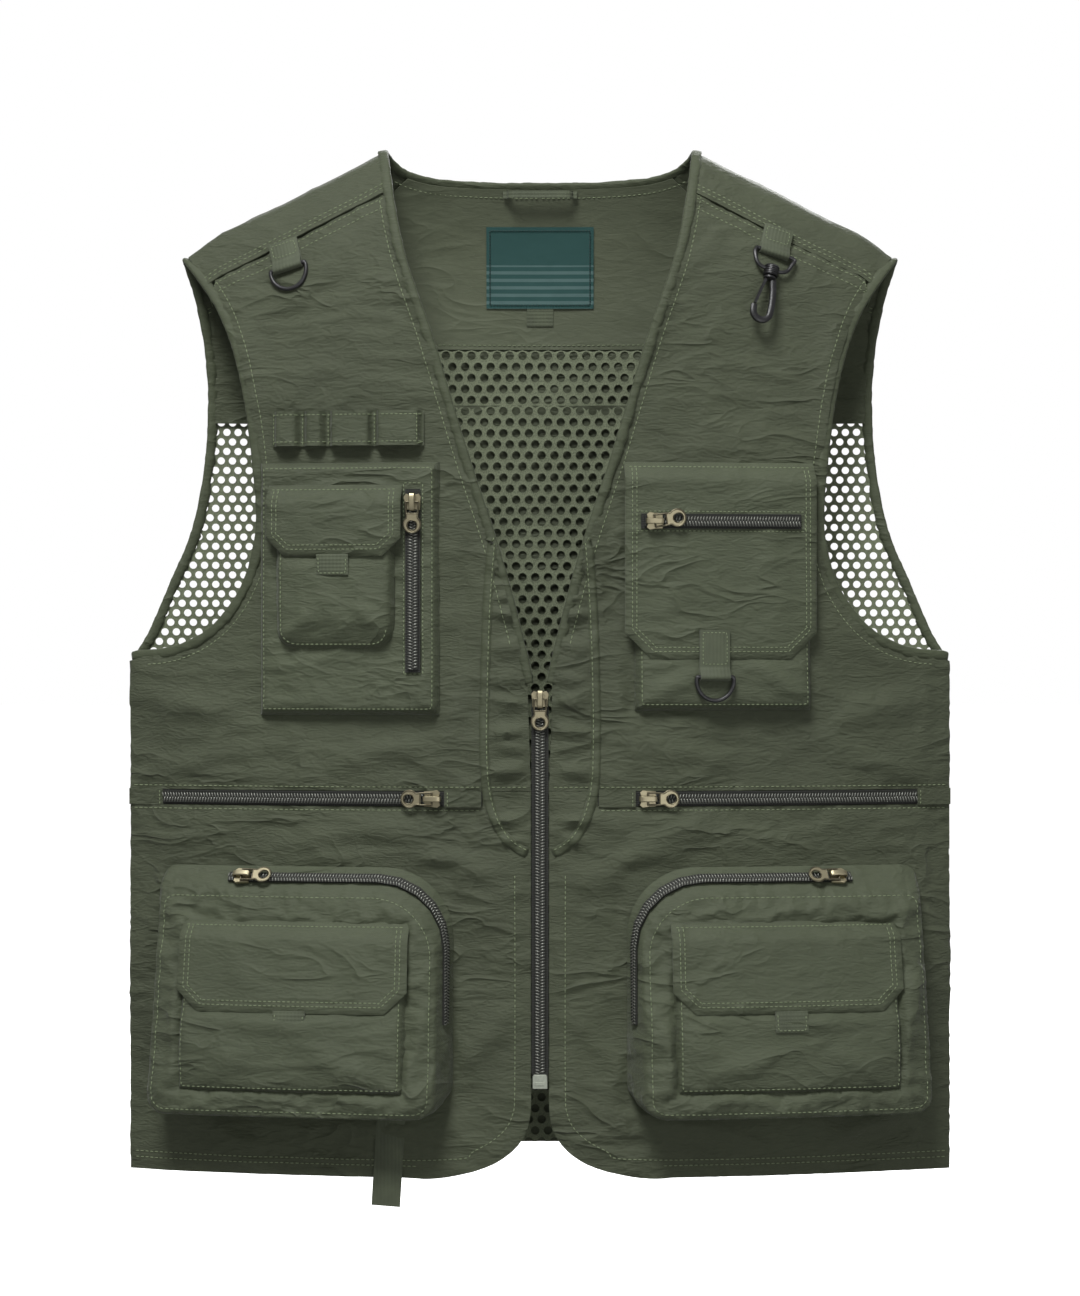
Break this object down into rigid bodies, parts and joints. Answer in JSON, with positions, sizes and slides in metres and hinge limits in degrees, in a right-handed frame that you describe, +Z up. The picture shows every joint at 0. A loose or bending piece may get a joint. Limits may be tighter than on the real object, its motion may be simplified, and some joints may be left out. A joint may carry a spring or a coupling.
{
  "type": "fishing vest",
  "caption": "Sleeveless fishing vest with a front zip, open mesh back, flapped chest pockets, deep zipped lower pockets, tool loops and a snap hook.",
  "frame": {"origin": "underside of the hang loop at the inside back of the neck", "axes": "+Z up along the wearer, -Y out of the front of the vest, -X to the wearer's right"},
  "size_m": [0.5494, 0.1377, 0.7002],
  "materials": {
    "shell_fabric": "crinkled taslan nylon",
    "binding_fabric": "fine plain weave tape",
    "webbing": "woven webbing",
    "mesh_fabric": "open hexagon mesh",
    "label_fabric": "woven patch",
    "zip_teeth": "dark coil teeth on tape",
    "antique_brass": "antique, worn",
    "black_plastic": "moulded"
  },
  "bodies": {
    "vest": {"left_upper_front": "shell_fabric", "right_upper_front": "shell_fabric", "left_lower_front": "shell_fabric", "right_lower_front": "shell_fabric", "back_yoke": "shell_fabric", "left_back_mesh": "mesh_fabric", "right_back_mesh": "mesh_fabric", "back_panel": "shell_fabric", "back_mesh_lining": "mesh_fabric", "neck_facing": "shell_fabric", "neck_binding": "binding_fabric", "left_armhole_binding": "binding_fabric", "right_armhole_binding": "binding_fabric", "hang_loop": "webbing", "neck_label": "label_fabric", "left_main_zip": "zip_teeth", "right_main_zip": "zip_teeth", "left_waist_zip": "zip_teeth", "left_waist_bag": "shell_fabric", "right_waist_zip": "zip_teeth", "right_waist_bag": "shell_fabric", "right_tool_loops": "webbing", "right_chest_panel": "shell_fabric", "right_chest_pocket": "shell_fabric", "right_chest_zip": "zip_teeth", "left_chest_pocket": "shell_fabric", "left_cargo_pocket": "shell_fabric", "left_cargo_zip": "zip_teeth", "left_cargo_patch": "shell_fabric", "right_cargo_pocket": "shell_fabric", "right_cargo_zip": "zip_teeth", "right_cargo_patch": "shell_fabric", "right_shoulder_tab": "webbing", "left_shoulder_tab": "webbing"},
    "main_slider": {"main_slider": "antique_brass"},
    "main_pull": {"main_pull": "antique_brass"},
    "right_waist_slider": {"right_waist_slider": "antique_brass"},
    "right_waist_pull": {"right_waist_pull": "antique_brass"},
    "left_waist_slider": {"left_waist_slider": "antique_brass"},
    "left_waist_pull": {"left_waist_pull": "antique_brass"},
    "right_chest_slider": {"right_chest_slider": "antique_brass"},
    "right_chest_pull": {"right_chest_pull": "antique_brass"},
    "left_chest_slider": {"left_chest_slider": "antique_brass"},
    "left_chest_pull": {"left_chest_pull": "antique_brass"},
    "right_cargo_slider": {"right_cargo_slider": "antique_brass"},
    "right_cargo_pull": {"right_cargo_pull": "antique_brass"},
    "left_cargo_slider": {"left_cargo_slider": "antique_brass"},
    "left_cargo_pull": {"left_cargo_pull": "antique_brass"},
    "right_chest_flap": {"right_chest_flap": "shell_fabric"},
    "right_cargo_flap": {"right_cargo_flap": "shell_fabric"},
    "left_cargo_flap": {"left_cargo_flap": "shell_fabric"},
    "left_chest_dring": {"left_chest_dring": "black_plastic"},
    "right_shoulder_dring": {"right_shoulder_dring": "black_plastic"},
    "hook_frame": {"hook_frame": "black_plastic"},
    "snap_hook": {"snap_hook": "black_plastic"},
    "hook_gate": {"hook_gate": "black_plastic"},
    "strap": {"strap": "webbing"},
    "left_chest_flap": {"left_chest_flap": "shell_fabric", "left_chest_zip": "zip_teeth", "left_chest_tab": "webbing"}
  },
  "joints": [
    {"name": "main_zip_travel", "type": "slide", "parent": "vest", "child": "main_slider", "axis": [0, 0, -1], "range_m": [0, 0.2384]},
    {"name": "left_waist_zip_travel", "type": "hinge", "parent": "vest", "child": "left_waist_slider", "pos_m": [0, 0.63892, -0.403], "axis": [0, 0, 1], "range_deg": [0, 14.25]},
    {"name": "right_waist_zip_travel", "type": "hinge", "parent": "vest", "child": "right_waist_slider", "pos_m": [0, 0.63892, -0.403], "axis": [0, 0, -1], "range_deg": [0, 14.25]},
    {"name": "right_chest_zip_travel", "type": "slide", "parent": "vest", "child": "right_chest_slider", "axis": [0, 0, -1], "range_m": [0, 0.103]},
    {"name": "left_chest_zip_travel", "type": "hinge", "parent": "left_chest_flap", "child": "left_chest_slider", "pos_m": [0, 0.63892, -0.403], "axis": [0, 0, 1], "range_deg": [0, 7.07]},
    {"name": "left_cargo_zip_travel", "type": "hinge", "parent": "vest", "child": "left_cargo_slider", "pos_m": [0, 0.63892, -0.403], "axis": [0, 0, -1], "range_deg": [0, 6.53]},
    {"name": "right_cargo_zip_travel", "type": "hinge", "parent": "vest", "child": "right_cargo_slider", "pos_m": [0, 0.63892, -0.403], "axis": [0, 0, 1], "range_deg": [0, 6.53]},
    {"name": "main_pull_swing", "type": "hinge", "parent": "main_slider", "child": "main_pull", "pos_m": [0, -0.08109, -0.3375], "axis": [-1, 0, 0], "range_deg": [0, 175]},
    {"name": "right_waist_pull_swing", "type": "hinge", "parent": "right_waist_slider", "child": "right_waist_pull", "pos_m": [-0.07099, -0.07758, -0.403], "axis": [0, 0, 1], "range_deg": [0, 175]},
    {"name": "left_waist_pull_swing", "type": "hinge", "parent": "left_waist_slider", "child": "left_waist_pull", "pos_m": [0.07099, -0.07758, -0.403], "axis": [0, 0, -1], "range_deg": [0, 175]},
    {"name": "right_chest_pull_swing", "type": "hinge", "parent": "right_chest_slider", "child": "right_chest_pull", "pos_m": [-0.08367, -0.08587, -0.2085], "axis": [-0.9934, 0.1147, 0], "range_deg": [0, 175]},
    {"name": "left_chest_pull_swing", "type": "hinge", "parent": "left_chest_slider", "child": "left_chest_pull", "pos_m": [0.07516, -0.08841, -0.221], "axis": [0, 0, -1], "range_deg": [0, 175]},
    {"name": "right_cargo_pull_swing", "type": "hinge", "parent": "right_cargo_slider", "child": "right_cargo_pull", "pos_m": [-0.19686, -0.06042, -0.45312], "axis": [-0.166, -0.5897, -0.7904], "range_deg": [0, 175]},
    {"name": "left_cargo_pull_swing", "type": "hinge", "parent": "left_cargo_slider", "child": "left_cargo_pull", "pos_m": [0.19686, -0.06042, -0.45312], "axis": [-0.166, 0.5897, 0.7904], "range_deg": [0, 175]},
    {"name": "right_chest_flap_lift", "type": "hinge", "parent": "vest", "child": "right_chest_flap", "pos_m": [-0.13441, -0.07382, -0.197], "axis": [-0.9827, 0.1853, 0], "range_deg": [0, 125]},
    {"name": "left_chest_flap_lift", "type": "hinge", "parent": "vest", "child": "left_chest_flap", "pos_m": [0.11788, -0.06863, -0.182], "axis": [-0.9864, -0.1643, 0], "range_deg": [0, 125]},
    {"name": "right_cargo_flap_lift", "type": "hinge", "parent": "vest", "child": "right_cargo_flap", "pos_m": [-0.15992, -0.07639, -0.483], "axis": [-0.9759, 0.2182, 0], "range_deg": [0, 125]},
    {"name": "left_cargo_flap_lift", "type": "hinge", "parent": "vest", "child": "left_cargo_flap", "pos_m": [0.15992, -0.07639, -0.483], "axis": [-0.9759, -0.2182, 0], "range_deg": [0, 125]},
    {"name": "left_chest_dring_swing", "type": "hinge", "parent": "left_chest_flap", "child": "left_chest_dring", "pos_m": [0.1147, -0.081, -0.323], "axis": [-0.9875, -0.1573, 0], "range_deg": [0, 130]},
    {"name": "right_shoulder_dring_swing", "type": "hinge", "parent": "vest", "child": "right_shoulder_dring", "pos_m": [-0.16712, -0.05192, -0.05163], "axis": [-0.9361, 0.2104, -0.2818], "range_deg": [0, 130]},
    {"name": "hook_frame_swing", "type": "hinge", "parent": "vest", "child": "hook_frame", "pos_m": [0.15508, -0.05324, -0.04248], "axis": [-0.9388, -0.2009, 0.2797], "range_deg": [0, 110]},
    {"name": "snap_hook_swivel", "type": "hinge", "parent": "hook_frame", "child": "snap_hook", "pos_m": [0.15568, -0.05529, -0.04196], "axis": [0.2136, 0.2976, 0.9305], "range_deg": [-15, 15]},
    {"name": "hook_gate_open", "type": "hinge", "parent": "snap_hook", "child": "hook_gate", "pos_m": [0.14849, -0.06242, -0.06189], "axis": [0.2702, -0.9333, 0.2365], "range_deg": [0, 20], "stiffness_Nm_per_rad": 0.004, "springref_deg": -5.73},
    {"name": "strap_swing", "type": "hinge", "parent": "vest", "child": "strap", "pos_m": [-0.09731, -0.07175, -0.6034], "axis": [-0.9908, 0.1357, 0], "range_deg": [0, 60]}
  ]
}
